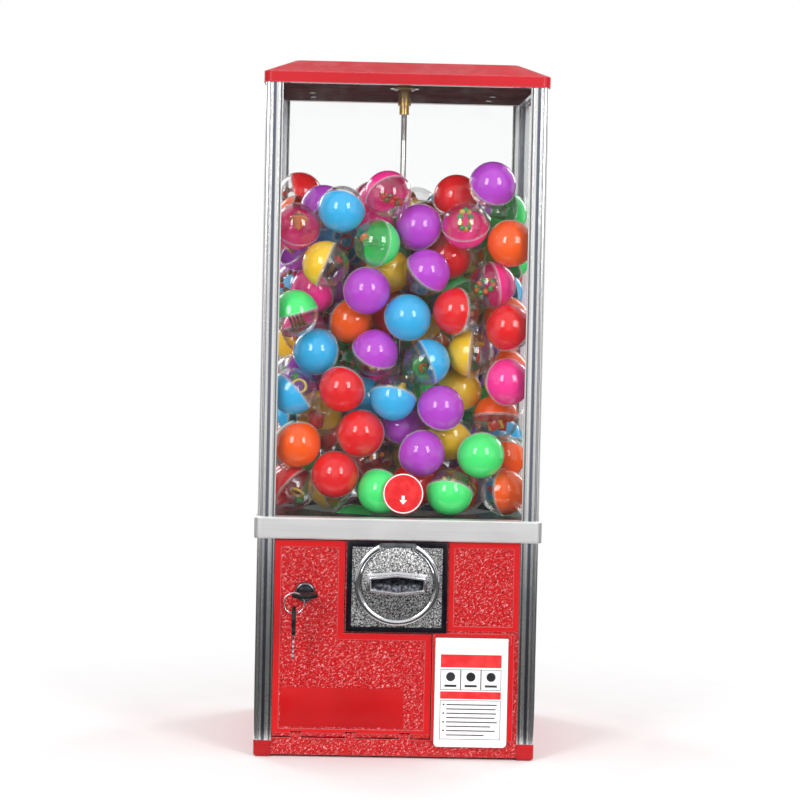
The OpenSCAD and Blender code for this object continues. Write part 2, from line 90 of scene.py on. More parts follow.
class Sock:
    """A shader socket on which Python arithmetic adds Math nodes."""

    def __init__(self, graph: "Graph", socket: bpy.types.NodeSocket) -> None:
        """Wraps one output socket of a graph."""
        self.graph = graph
        self.socket = socket

    def math(self, operation: str, *others: "Sock | float") -> "Sock":
        """Adds one Math node with this socket as its first input."""
        inputs = {0: self, **{i + 1: other for i, other in enumerate(others)}}
        return self.graph.out("ShaderNodeMath", {"operation": operation}, inputs)

    def flipped(self, operation: str, first: float) -> "Sock":
        """Adds one Math node with a number as its first input and this socket as its second."""
        return self.graph.out("ShaderNodeMath", {"operation": operation}, {0: first, 1: self})

    def __add__(self, other: "Sock | float") -> "Sock":
        """Sum."""
        return self.math("ADD", other)

    __radd__ = __add__

    def __sub__(self, other: "Sock | float") -> "Sock":
        """Difference."""
        return self.math("SUBTRACT", other)

    def __rsub__(self, other: float) -> "Sock":
        """Difference from a number."""
        return self.flipped("SUBTRACT", other)

    def __mul__(self, other: "Sock | float") -> "Sock":
        """Product."""
        return self.math("MULTIPLY", other)

    __rmul__ = __mul__

    def __pow__(self, other: float) -> "Sock":
        """Power."""
        return self.math("POWER", other)

    def __abs__(self) -> "Sock":
        """Absolute value."""
        return self.math("ABSOLUTE")

    def __gt__(self, other: "Sock | float") -> "Sock":
        """One where this is greater, else nought."""
        return self.math("GREATER_THAN", other)

    def __lt__(self, other: "Sock | float") -> "Sock":
        """One where this is less, else nought."""
        return self.math("LESS_THAN", other)


class Graph:
    """A node tree that is filled through one method."""

    def __init__(self, tree: bpy.types.NodeTree) -> None:
        """Empties the tree."""
        self.tree = tree
        tree.nodes.clear()

    def node(self, kind: str, settings: dict | None = None, inputs: dict | None = None) -> bpy.types.Node:
        """Adds a node.

        Args:
            kind: The node's type.
            settings: Its own settings, set first. A ramp's stops are (position, colour) pairs.
            inputs: Values or links of its sockets, by name or number.

        Returns:
            The new node.
        """
        made = self.tree.nodes.new(kind)
        for name, value in (settings or {}).items():
            if name == "stops":
                while len(made.color_ramp.elements) < len(value):
                    made.color_ramp.elements.new(1.0)
                for element, (position, colour) in zip(made.color_ramp.elements, value):
                    element.position = position
                    element.color = colour
            else:
                setattr(made, name, value)
        for key, value in (inputs or {}).items():
            if isinstance(value, Sock):
                self.tree.links.new(value.socket, made.inputs[key])
            else:
                made.inputs[key].default_value = value
        return made

    def out(self, kind: str, settings: dict | None = None, inputs: dict | None = None,
            output: int | str = 0) -> Sock:
        """Adds a node as node() does and wraps one of its outputs."""
        return Sock(self, self.node(kind, settings, inputs).outputs[output])

    def place(self) -> Sock:
        """The point on the piece, in metres in the frame."""
        return self.out("ShaderNodeTexCoord", output="Object")

    def axes(self, vector: Sock) -> list[Sock]:
        """The three numbers of a vector."""
        split = self.node("ShaderNodeSeparateXYZ", inputs={0: vector})
        return [Sock(self, socket) for socket in split.outputs]

    def vector(self, x: "Sock | float", y: "Sock | float", z: "Sock | float") -> Sock:
        """A vector of three numbers."""
        return self.out("ShaderNodeCombineXYZ", inputs={0: x, 1: y, 2: z})

    def stretched(self, vector: Sock, scale: tuple[float, float, float]) -> Sock:
        """A vector with each axis multiplied."""
        return self.out("ShaderNodeVectorMath", {"operation": "MULTIPLY"}, {0: vector, 1: scale})

    def noise(self, vector: Sock, scale: float, detail: float = 2.0, warp: float = 0.0) -> Sock:
        """Cloudy noise from 0 to 1, with a mean of a half."""
        inputs = {"Vector": vector, "Scale": scale, "Detail": detail, "Distortion": warp}
        return self.out("ShaderNodeTexNoise", None, inputs)

    def cells(self, vector: Sock, scale: float) -> Sock:
        """Distance within a pattern of cells."""
        return self.out("ShaderNodeTexVoronoi", None, {"Vector": vector, "Scale": scale})

    def span(self, value: Sock, low: float, high: float, start: float = 0.0, stop: float = 1.0) -> Sock:
        """Maps low to high onto start to stop smoothly, held at both ends."""
        settings = {"interpolation_type": "SMOOTHSTEP"}
        return self.out("ShaderNodeMapRange", settings, {0: value, 1: low, 2: high, 3: start, 4: stop})

    def mix(self, factor: "Sock | float", first: "Sock | Colour", second: "Sock | Colour") -> Sock:
        """Blends two colours."""
        return self.out("ShaderNodeMix", {"data_type": "RGBA"}, {0: factor, 6: first, 7: second}, 2)

    def ramp(self, factor: Sock, stops: Sequence[tuple[float, Colour]]) -> Sock:
        """Colours a number by a ramp."""
        return self.out("ShaderNodeValToRGB", {"stops": stops}, {0: factor})

    def rounded(self, radius: float) -> Sock:
        """A normal that rolls over the piece's edges."""
        return self.out("ShaderNodeBevel", {"samples": 4}, {"Radius": radius})

    def edges(self, rounded: Sock) -> Sock:
        """One along the piece's edges and nought on its faces, from the rounded normal.

        Args:
            rounded: The normal that rolls over the edges.

        Returns:
            The mask.
        """
        flat = self.out("ShaderNodeNewGeometry", output="Normal")
        inputs = {0: rounded, 1: flat}
        level = self.out("ShaderNodeVectorMath", {"operation": "DOT_PRODUCT"}, inputs, "Value")
        return self.span(level, 0.995, 0.86)

    def bump(self, height: Sock, distance: float, normal: Sock | None = None) -> Sock:
        """A normal from a height, one unit of which stands distance metres high."""
        inputs = {"Height": height, "Distance": distance, "Strength": 1.0}
        return self.out("ShaderNodeBump", None, inputs | ({"Normal": normal} if normal else {}))

    def principled(self, inputs: dict) -> Sock:
        """The main surface shader."""
        return self.out("ShaderNodeBsdfPrincipled", None, inputs)

    def blend(self, factor: Sock, first: Sock, second: Sock) -> Sock:
        """Blends two shaders."""
        return self.out("ShaderNodeMixShader", None, {0: factor, 1: first, 2: second})


# ---- finishes ----


@dataclass(frozen=True)
class Finish:
    """What a surface is made of and how it was worked."""

    name: str

    def surface(self, graph: Graph) -> Sock:
        """Builds the shader."""
        raise NotImplementedError

    def material(self) -> bpy.types.Material:
        """Makes the finish's material at its first use.

        Returns:
            The material.
        """
        found = bpy.data.materials.get(f"finish_{self.name}")
        if found:
            return found
        made = bpy.data.materials.new(f"finish_{self.name}")
        made.use_nodes = True
        graph = Graph(made.node_tree)
        graph.node("ShaderNodeOutputMaterial", inputs={"Surface": self.surface(graph)})
        return made


@dataclass(frozen=True)
class Paint(Finish):
    """Glossy baked enamel with faint orange peel, and a painted highlight in its light colour where it
    rolls over an edge.
    """

    colour: Colour
    # light: colour of the painted highlight on edges, and on the grain's ridges in GrainedPaint
    light: Colour
    roughness: float = 0.3
    peel: float = 0.02 * MM
    edge: float = 0.9 * MM
    coat: float = 0.12
    sheen: float = 0.3

    def surface(self, graph: Graph) -> Sock:
        """Builds the shader.

        Args:
            graph: The material's graph.

        Returns:
            The shader.
        """
        place = graph.place()
        rolled = graph.rounded(self.edge)
        clouds = graph.noise(place, 9.0, 3.0)
        # painted highlight: the rolled edges, broken up by noise, blend to the light colour
        edge_highlight = graph.edges(rolled) * graph.span(graph.noise(place, 260.0), 0.3, 0.6, 0.45, 0.9)
        flat = graph.mix(graph.span(clouds, 0.35, 0.65), dimmed(self.colour, 0.82), self.colour)
        return graph.principled({
            "Base Color": graph.mix(edge_highlight, flat, self.light),
            "Roughness": graph.span(graph.noise(place, 45.0, 4.0), 0.3, 0.7,
                                    self.roughness * 0.75, self.roughness * 1.3),
            "Specular IOR Level": self.sheen,
            "Coat Weight": self.coat,
            "Coat Roughness": 0.08,
            "Normal": graph.bump(graph.noise(place, 420.0, 1.0), self.peel, rolled),
        })


@dataclass(frozen=True)
class GrainedPaint(Paint):
    """The same enamel moulded with leather grain, save on the raised strips round each field, with painted
    highlights on the grain's ridges and painted shade in its hollows.
    """

    field_reach: float = 127.4 * MM
    along: float = 340.0
    across: float = 540.0
    lean: float = 38.0
    line: float = 0.042
    depth: float = 0.22 * MM

    def surface(self, graph: Graph) -> Sock:
        """Builds the shader.

        Args:
            graph: The material's graph.

        Returns:
            The shader.
        """
        place = graph.place()
        x, y, z = graph.axes(place)
        inside = abs(x).math("MAXIMUM", abs(y)) < self.field_reach
        run = x + y
        cosine, sine = math.cos(math.radians(self.lean)), math.sin(math.radians(self.lean))
        grained = graph.vector((run * cosine + z * sine) * self.along,
                               (z * cosine - run * sine) * self.across, 0.0)
        hills = graph.noise(grained, 1.0, 1.0, 0.4)
        broken = graph.span(graph.noise(grained, 0.9, 1.0, 0.2), 0.46, 0.56)
        ridges = graph.span(abs(hills - 0.5), self.line, self.line * 0.3) * broken * inside
        # painted shade: the grain's hollows darken towards a deep red
        painted_hollow_shade = graph.span(hills, 0.46, 0.3) * inside
        rolled = graph.rounded(self.edge)
        # deep: the painted shade's dark red; the whole field also takes a fifth of it
        deep = dimmed(self.colour, 0.45)
        ground = graph.mix(painted_hollow_shade, graph.mix(inside * 0.2, self.colour, deep), deep)
        return graph.principled({
            # painted highlight: the grain's ridges and the rolled edges blend to the light colour
            "Base Color": graph.mix((ridges * 0.85).math("MAXIMUM", graph.edges(rolled) * 0.45), ground,
                                    self.light),
            "Roughness": graph.span(graph.noise(place, 60.0, 4.0), 0.3, 0.7,
                                    self.roughness, self.roughness * 1.5),
            "Specular IOR Level": self.sheen,
            "Coat Weight": self.coat,
            "Coat Roughness": 0.12,
            "Normal": graph.bump(ridges + hills * 0.6, self.depth, rolled),
        })


@dataclass(frozen=True)
class Metal(Finish):
    """Bare or plated metal with drawn or turned streaks, small scratches and a painted highlight along its
    edges.
    """

    colour: Colour
    roughness: float = 0.16
    streaks: tuple[float, float, float] = (900.0, 900.0, 6.0)
    spread: float = 0.12
    edge: float = 0.5 * MM
    depth: float = 0.01 * MM

    def tint(self, graph: Graph, place: Sock, streaks: Sock) -> Sock:
        """The metal's own colour, darker along its streaks."""
        dull = dimmed(self.colour, 1.0 - self.spread * 2.5)
        return graph.mix(graph.span(streaks, 0.3, 0.62), dull, self.colour)

    def surface(self, graph: Graph) -> Sock:
        """Builds the shader.

        Args:
            graph: The material's graph.

        Returns:
            The shader.
        """
        place = graph.place()
        streaks = graph.noise(graph.stretched(place, self.streaks), 1.0, 3.0)
        smudges = graph.noise(place, 38.0, 4.0)
        rolled = graph.rounded(self.edge)
        return graph.principled({
            # painted highlight: the rolled edges blend to a pale grey
            "Base Color": graph.mix(graph.edges(rolled) * 0.7, self.tint(graph, place, streaks),
                                    tone(0.93)),
            "Metallic": 1.0,
            "Roughness": self.roughness * (0.6 + streaks * 0.5 + smudges * 0.4),
            "Normal": graph.bump(streaks, self.depth, rolled),
        })


@dataclass(frozen=True)
class PostMetal(Metal):
    """Polished corner extrusion, with painted reflections: slate and bright stripes down each face."""

    outer: float = 129.0 * MM
    width: float = 16.0 * MM

    def tint(self, graph: Graph, place: Sock, streaks: Sock) -> Sock:
        """Painted reflections: stripes across the post's face, set by the distance from the machine's
        middle.

        Args:
            graph: The material's graph.
            place: The point on the piece.
            streaks: The metal's streaks, from 0 to 1.

        Returns:
            The colour.
        """
        # painted reflection: bright stripes take the metal's own colour, slate and dark ones stand for
        # mirrored dark surroundings
        bright, reflected_slate, dark = self.colour, shade(118, 122, 134), shade(46, 48, 56)
        stops = [(0.0, bright), (0.03, dark), (0.09, bright), (0.3, bright), (0.36, reflected_slate), (0.58, reflected_slate),
                 (0.62, bright), (0.78, bright), (0.84, reflected_slate), (0.9, bright), (1.0, bright)]
        x, y, _ = graph.axes(place)
        reach = abs(x).math("MINIMUM", abs(y))
        bands = graph.ramp(graph.span(reach, self.outer - self.width, self.outer), stops)
        return graph.mix(graph.span(streaks, 0.3, 0.6, 0.2, 0.0), bands, reflected_slate)


@dataclass(frozen=True)
class CastMetal(Metal):
    """Plated casting with a coarse grain and painted glitter, smooth and bright forward of one depth."""

    front: float = -1.0
    scale: float = 800.0
    grain: float = 0.22 * MM

    def surface(self, graph: Graph) -> Sock:
        """Builds the shader.

        Args:
            graph: The material's graph.

        Returns:
            The shader.
        """
        place = graph.place()
        _, y, _ = graph.axes(place)
        rough = y > self.front
        grains = graph.noise(place, self.scale, 2.0, 0.8)
        cells = graph.cells(place, self.scale * 0.9)
        # painted glints and shade: the grain's colour runs from near black to near white
        stops = [(0.32, tone(0.01)), (0.45, tone(0.14)), (0.53, tone(0.5)), (0.6, tone(0.98))]
        painted_glitter = graph.ramp(grains, stops)
        rolled = graph.rounded(self.edge)
        # painted highlight: the smooth part's rolled edges blend to near white
        colour = graph.mix(rough, graph.mix(graph.edges(rolled) * 0.7, self.colour, tone(0.95)), painted_glitter)
        return graph.principled({
            "Base Color": colour,
            "Metallic": 1.0,
            "Roughness": rough * (0.16 + grains * 0.3) + self.roughness * 0.6,
            "Normal": graph.bump((grains + cells * 0.5) * rough, self.grain, rolled),
        })


@dataclass(frozen=True)
class Enamelled(Metal):
    """Plated handle whose sunken face is filled with dark, patchy enamel."""

    floor: float = -145.62 * MM
    back: float = -144.0 * MM

    def tint(self, graph: Graph, place: Sock, streaks: Sock) -> Sock:
        """Bright rim and sides round a dark floor.

        Args:
            graph: The material's graph.
            place: The point on the piece.
            streaks: The metal's streaks, from 0 to 1.

        Returns:
            The colour.
        """
        _, y, _ = graph.axes(place)
        sunk = (y > self.floor) * (y < self.back)
        mottled = graph.mix(graph.span(graph.noise(place, 330.0, 4.0), 0.35, 0.7), shade(56, 57, 66),
                            shade(148, 150, 160))
        return graph.mix(sunk, self.colour, mottled)


@dataclass(frozen=True)
class Plastic(Finish):
    """Moulded plastic with mottled colour, fine scuffs and a little texture."""

    colour: Colour
    roughness: float = 0.3
    mottle: float = 0.12
    texture: float = 0.02 * MM
    scale: float = 500.0
    coat: float = 0.0
    edge: float = 0.0
    sheen: float = 0.5

    def surface(self, graph: Graph) -> Sock:
        """Builds the shader.

        Args:
            graph: The material's graph.

        Returns:
            The shader.
        """
        place = graph.place()
        dark = dimmed(self.colour, 1.0 - self.mottle * 2.0)
        scuffs = graph.noise(graph.stretched(place, (1.0, 1.0, 0.35)), 320.0, 4.0)
        rolled = graph.rounded(self.edge) if self.edge else None
        return graph.principled({
            "Base Color": graph.mix(graph.span(graph.noise(place, 55.0, 4.0), 0.3, 0.7), dark, self.colour),
            "Roughness": graph.span(scuffs, 0.35, 0.75, self.roughness * 0.75, self.roughness * 1.5),
            "Specular IOR Level": self.sheen,
            "Coat Weight": self.coat,
            "Coat Roughness": 0.04,
            "Normal": graph.bump(graph.noise(place, self.scale, 2.0), self.texture, rolled),
        })


@dataclass(frozen=True)
class TwoPart(Finish):
    """A key's moulded bow and cut steel blade, or any node whose finish changes at one plane."""

    near: Finish
    far: Finish
    axis: int
    limit: float

    def surface(self, graph: Graph) -> Sock:
        """Shows the near finish below the limit along the axis and the far one above it."""
        beyond = graph.axes(graph.place())[self.axis] > self.limit
        return graph.blend(beyond, self.near.surface(graph), self.far.surface(graph))


@dataclass(frozen=True)
class Clear(Finish):
    """Clear plastic: light goes straight through, and more is mirrored at a slant."""

    tint: Colour = (0.985, 0.99, 0.99, 1.0)
    face_on: float = 0.04
    grazing: float = 0.75
    haze: float = 0.0
    roughness: float = 0.04
    fall: float = 4.0

    def surface(self, graph: Graph) -> Sock:
        """Builds the shader.

        Args:
            graph: The material's graph.

        Returns:
            The shader.
        """
        place = graph.place()
        slant = graph.out("ShaderNodeLayerWeight", None, {"Blend": 0.5}, "Facing")
        dusty = graph.span(graph.noise(place, 70.0, 5.0), 0.45, 0.8, 0.0, 0.02)
        gloss = graph.principled({
            "Base Color": graph.mix(graph.noise(place, 40.0), tone(0.9), tone(1.0)),
            "Roughness": graph.span(graph.noise(place, 300.0, 4.0), 0.4, 0.8, self.roughness,
                                    self.roughness * 3.0),
            "Metallic": 0.0 if self.haze else 1.0,
        })
        share = slant ** self.fall * self.grazing + dusty + (self.face_on + self.haze)
        through = graph.out("ShaderNodeBsdfTransparent", None, {"Color": self.tint})
        return graph.blend(share, through, gloss)


@dataclass(frozen=True)
class StudioFloor(Finish):
    """Pale matt floor that fades out between two distances from the machine."""

    fade: Point

    def surface(self, graph: Graph) -> Sock:
        """Builds the shader.

        Args:
            graph: The material's graph.

        Returns:
            The shader.
        """
        place = graph.place()
        reach = graph.out("ShaderNodeVectorMath", {"operation": "LENGTH"}, {0: place}, "Value")
        pale = graph.mix(graph.noise(place, 30.0, 3.0), tone(0.92), tone(0.96))
        matt = graph.principled({"Base Color": pale, "Roughness": 0.9})
        clear = graph.out("ShaderNodeBsdfTransparent")
        return graph.blend(graph.span(reach, *self.fade), matt, clear)


@dataclass(frozen=True)
class Print(Finish):
    """Ink on a label, faintly uneven."""

    colour: Colour
    roughness: float = 0.35

    def surface(self, graph: Graph) -> Sock:
        """Builds the shader.

        Args:
            graph: The material's graph.

        Returns:
            The shader.
        """
        place = graph.place()
        pale = tuple(min(1.0, c * 1.12 + 0.02) for c in self.colour[:3]) + (1.0,)
        patches = graph.span(graph.noise(place, 140.0, 5.0), 0.35, 0.7)
        return graph.principled({
            "Base Color": graph.mix(patches, self.colour, pale),
            "Roughness": self.roughness + patches * 0.12,
            "Normal": graph.bump(graph.noise(place, 900.0, 2.0), 0.01 * MM),
        })


# Each paint's second colour is its painted highlight, on edges and on the grain's ridges.
RED = shade(206, 10, 18)
PINK_HIGHLIGHT = shade(255, 176, 178)
GRAINED = GrainedPaint("red_grained", RED, PINK_HIGHLIGHT)
# painted shade: the feet and the label plate take reds darker than the panels', as the lower part lies
# dimmer
SHADED_RED_PAINT = Paint("red_smooth", shade(186, 12, 19), shade(236, 80, 86))
LID_PAINT = Paint("red_lid", shade(200, 18, 34), shade(250, 130, 138), 0.42, 0.008 * MM, 1.6 * MM, 0.1)
SHADED_LABEL_PAINT = Paint("red_label", shade(196, 13, 19), shade(230, 50, 56), 0.4, 0.008 * MM, 0.4 * MM,
                    coat=0.05, sheen=0.2)
# painted shade: the liner under the lid is a dark red standing for the shade there
LINER_SHADE_PAINT = Paint("liner_red", shade(86, 14, 22), shade(110, 30, 38), 0.85, coat=0.0, sheen=0.05)
POSTS = PostMetal("post_metal", tone(0.94), 0.16, spread=0.06)
CHROME = Metal("chrome", shade(236, 237, 240), 0.07, (300.0, 300.0, 300.0), 0.05)
SATIN = Metal("satin_band", tone(0.98), 0.42, (8.0, 8.0, 1400.0), 0.02, 0.8 * MM)
STEEL = Metal("steel", shade(196, 198, 202), 0.25, (260.0, 260.0, 260.0), 0.15)
ZINC = Metal("zinc_plate", shade(176, 180, 184), 0.38, (90.0, 90.0, 90.0), 0.22)
BRASS = Metal("brass", shade(198, 160, 104), 0.2, (40.0, 40.0, 900.0), 0.12)
ROD = Metal("rod_steel", shade(190, 188, 184), 0.18, (900.0, 900.0, 20.0), 0.2)
CAST_FACE = CastMetal("cast_face", shade(226, 228, 232), 0.12, front=-130.25 * MM)
CAST_DISC = CastMetal("cast_disc", shade(226, 228, 232), 0.12)
BEZEL = Metal("lock_bezel", shade(128, 129, 136), 0.12, (300.0, 300.0, 300.0), 0.08)
PLUG_STEEL = Metal("lock_plug_steel", shade(70, 72, 78), 0.3, (300.0, 300.0, 300.0), 0.2)
HANDLE = Enamelled("handle", shade(226, 227, 232), 0.14, (300.0, 300.0, 300.0), 0.06)
BLACK = Plastic("black_plastic", shade(26, 26, 30), 0.4, 0.2, 0.04 * MM, 600.0, edge=0.6 * MM, sheen=0.35)
FRAME_BLACK = Plastic("frame_black", shade(16, 16, 26), 0.3, 0.15, 0.02 * MM, 500.0, 0.05, 0.8 * MM, 0.25)
WHITE = Plastic("white_plastic", shade(252, 252, 251), 0.3, 0.01, 0.012 * MM, 300.0, 0.1)
GREY = Plastic("grey_plastic", shade(196, 196, 192), 0.45, 0.08, 0.03 * MM)
STICKER = Print("sticker_red", shade(222, 16, 24))
INK_RED = Print("ink_red", shade(226, 34, 38))
INK_DARK = Print("ink_dark", shade(34, 34, 38))
INK_WHITE = Print("ink_white", shade(250, 250, 248))
PANE = Clear("clear_pane", (0.992, 0.996, 0.996, 1.0), 0.01, 0.3)
DOME = Clear("clear_dome", (0.98, 0.985, 0.985, 1.0), 0.04, 0.9, fall=3.2)
LIP = Clear("clear_lip", (0.96, 0.97, 0.97, 1.0), 0.04, 0.6, 0.13, 0.12)


class Tint(Enum):
    """Colours of the capsules' solid halves."""

    BLUE = shade(54, 180, 236)
    GREEN = shade(72, 240, 122)
    PURPLE = shade(188, 68, 208)
    RED = shade(232, 22, 28)
    PINK = shade(255, 50, 150)
    YELLOW = shade(250, 200, 40)
    ORANGE = shade(254, 92, 8)

    @property
    def label(self) -> str:
        """The colour's name in lower case."""
        return self.name.lower()

    def finish(self) -> Plastic:
        """The glossy plastic of that colour."""
        return Plastic(f"capsule_{self.label}", self.value, 0.13, 0.04, 0.006 * MM, 260.0, 0.45)


PRIZES = tuple(
    Plastic(f"prize_{name}", colour, 0.25, 0.1, 0.01 * MM)
    for name, colour in (("red", shade(214, 50, 44)), ("yellow", shade(240, 200, 70)),
                         ("green", shade(70, 170, 84)), ("orange", shade(232, 120, 40)),
                         ("bronze", shade(132, 92, 56)))
)


# ---- shapes ----


def arc(radius: float, start: float, stop: float, count: int) -> list[Point]:
    """Points along a circle about the origin, from one angle to another in degrees."""
    angles = [math.radians(start + (stop - start) * i / count) for i in range(count + 1)]
    return [(radius * math.cos(a), radius * math.sin(a)) for a in angles]


class Shape:
    """A mesh under construction, in metres in the frame's axes."""

    def __init__(self) -> None:
        """Starts empty."""
        self.bm = bmesh.new()

    def added(self, verts: Iterable[bmesh.types.BMVert], matrix: Matrix, slot: int = 0) -> None:
        """Places new points and gives the faces between them a material slot.

        Args:
            verts: The new points.
            matrix: Where they are placed.
            slot: Material slot of their faces.
        """
        verts = list(verts)
        bmesh.ops.transform(self.bm, matrix=matrix, verts=verts)
        for face in {f for v in verts for f in v.link_faces}:
            face.material_index = slot

    def cuboid(self, low: Sequence[float], high: Sequence[float], bevel: float = 0.0) -> "Shape":
        """Adds a box between two corners, with its edges bevelled.

        Args:
            low: Lowest corner.
            high: Highest corner.
            bevel: Width of the edges' bevel, or nought.

        Returns:
            This shape.
        """
        low, high = Vector(low), Vector(high)
        size = Matrix.Diagonal((*(high - low), 1.0))
        made = bmesh.ops.create_cube(self.bm, size=1.0, matrix=Matrix.Translation((low + high) / 2) @ size)
        if bevel:
            edges = list({e for v in made["verts"] for e in v.link_edges})
            bmesh.ops.bevel(self.bm, geom=edges, offset=bevel, offset_type="OFFSET", segments=2,
                            profile=0.5, affect="EDGES", material=-1)
        return self

    def lathe(self, profile: Sequence[Point], steps: int, closed: bool = False,
              matrix: Matrix = Matrix.Identity(4), slot: int = 0) -> "Shape":
        """Adds a turned solid.

        Args:
            profile: Radius and height of each point, from axis to axis or, when closed, round a ring.
            steps: Number of facets round the axis.
            closed: Whether the profile's ends join.
            matrix: Where the shape's own +Z axis is placed.
            slot: Material slot of its faces.

        Returns:
            This shape.
        """
        part = bmesh.new()
        verts = [part.verts.new((r, 0.0, z)) for r, z in profile]
        pairs = list(zip(verts, verts[1:] + verts[:1]))
        edges = [part.edges.new(pair) for pair in (pairs if closed else pairs[:-1])]
        bmesh.ops.spin(part, geom=verts + edges, cent=(0, 0, 0), axis=(0, 0, 1), dvec=(0, 0, 0),
                       angle=2 * math.pi, steps=steps, use_merge=True, use_duplicate=False)
        bmesh.ops.remove_doubles(part, verts=part.verts, dist=1e-7)
        bmesh.ops.recalc_face_normals(part, faces=part.faces)
        return self.join(part, matrix, slot)

    def plate(self, outline: Sequence[Point], y: float, thick: float, matrix: Matrix = Matrix.Identity(4)
              ) -> "Shape":
        """Adds a flat plate that faces the front.

        Args:
            outline: Its corners in order, in x and z.
            y: Where its back lies.
            thick: How far its face stands forward.
            matrix: Where it is placed.

        Returns:
            This shape.
        """
        part = bmesh.new()
        verts = [part.verts.new((px, y, pz)) for px, pz in outline]
        made = bmesh.ops.extrude_face_region(part, geom=[part.faces.new(verts)])
        raised = [g for g in made["geom"] if isinstance(g, bmesh.types.BMVert)]
        bmesh.ops.translate(part, vec=(0.0, -thick, 0.0), verts=raised)
        bmesh.ops.recalc_face_normals(part, faces=part.faces)
        return self.join(part, matrix)

    def outline_frame(self, low: Point, high: Point, line: float, y: float, thick: float) -> "Shape":
        """Adds four thin plates round a rectangle.

        Args:
            low: Lowest corner, in x and z.
            high: Highest corner, in x and z.
            line: Width of each plate.
            y: Where their backs lie.
            thick: How far they stand forward.

        Returns:
            This shape.
        """
        (x0, z0), (x1, z1) = low, high
        for a, b in (((x0, z0), (x1, z0 + line)), ((x0, z1 - line), (x1, z1)),
                     ((x0, z0 + line), (x0 + line, z1 - line)), ((x1 - line, z0 + line), (x1, z1 - line))):
            self.cuboid((a[0], y - thick, a[1]), (b[0], y, b[1]))
        return self

    def join(self, part: bmesh.types.BMesh, matrix: Matrix, slot: int = 0) -> "Shape":
        """Adds another mesh, placed and given a material slot.

        Args:
            part: The mesh, which is used up.
            matrix: Where it is placed.
            slot: Material slot of its faces.

        Returns:
            This shape.
        """
        for face in part.faces:
            face.material_index = slot
        bmesh.ops.transform(part, matrix=matrix, verts=part.verts)
        store = bpy.data.meshes.new("store")
        part.to_mesh(store)
        part.free()
        self.bm.from_mesh(store)
        bpy.data.meshes.remove(store)
        return self

    def mesh(self, name: str, sharp: float = 35.0) -> bpy.types.Mesh:
        """Closes the shape and shades it smooth between its sharp edges.

        Args:
            name: Its name.
            sharp: Angle in degrees from which an edge stays sharp.

        Returns:
            The mesh.
        """
        made = bpy.data.meshes.new(name)
        self.bm.to_mesh(made)
        self.bm.free()
        made.shade_smooth()
        made.set_sharp_from_angle(angle=math.radians(sharp))
        return made

    def piece(self, name: str, body: str, slot: str, *finishes: Finish, sharp: float = 35.0
              ) -> bpy.types.Object:
        """The finished object.

        Args:
            name: The piece's name.
            body: The body it moves with.
            slot: The record's material slot; not used.
            finishes: One finish for each material slot of the mesh.
            sharp: Angle in degrees from which an edge stays sharp.

        Returns:
            The object, at the origin.
        """
        made = bpy.data.objects.new(name, self.mesh(name, sharp))
        bpy.context.scene.collection.objects.link(made)
        for finish in finishes:
            made.data.materials.append(finish.material())
        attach(made, body)
        log.info("piece %s: %d faces on %s", name, len(made.data.polygons), body)
        return made


def dress(finish: Finish, *nodes: str) -> None:
    """Gives CAD nodes a finish.

    Args:
        finish: The finish.
        nodes: Names of the nodes.
    """
    for name in nodes:
        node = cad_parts[name]
        for slot in node.material_slots:
            slot.material = finish.material()
        log.info("node %s: %s", name, finish.name)


def softened(node: str, body: str, slot: str, width: float, finish: Finish) -> bpy.types.Object:
    """Stands a copy of a CAD node with bevelled edges in its place.

    Args:
        node: The CAD node.
        body: The body it moves with.
        slot: The record's material slot.
        width: Width of the bevel.
        finish: Its finish.

    Returns:
        The new piece.
    """
    shape = Shape()
    bm = shape.bm
    bm.from_mesh(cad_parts[node].data)
    for face in bm.faces:
        face.material_index = 0
    bmesh.ops.remove_doubles(bm, verts=bm.verts, dist=WELD)
    bmesh.ops.dissolve_limit(bm, angle_limit=FLAT_ANGLE, verts=bm.verts, edges=bm.edges)
    corners = [e for e in bm.edges if e.is_manifold and e.calc_face_angle(0.0) > CORNER_ANGLE]
    bmesh.ops.bevel(bm, geom=corners, offset=width, offset_type="OFFSET", segments=2, profile=0.5,
                    affect="EDGES", clamp_overlap=True, material=-1)
    bmesh.ops.dissolve_degenerate(bm, dist=SLIVER, edges=bm.edges)
    bmesh.ops.triangulate(bm, faces=[f for f in bm.faces if len(f.verts) > 4])
    piece = shape.piece(f"{node}_soft", body, slot, finish, sharp=40.0)
    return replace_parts(piece, node)


# ---- sub-assemblies ----


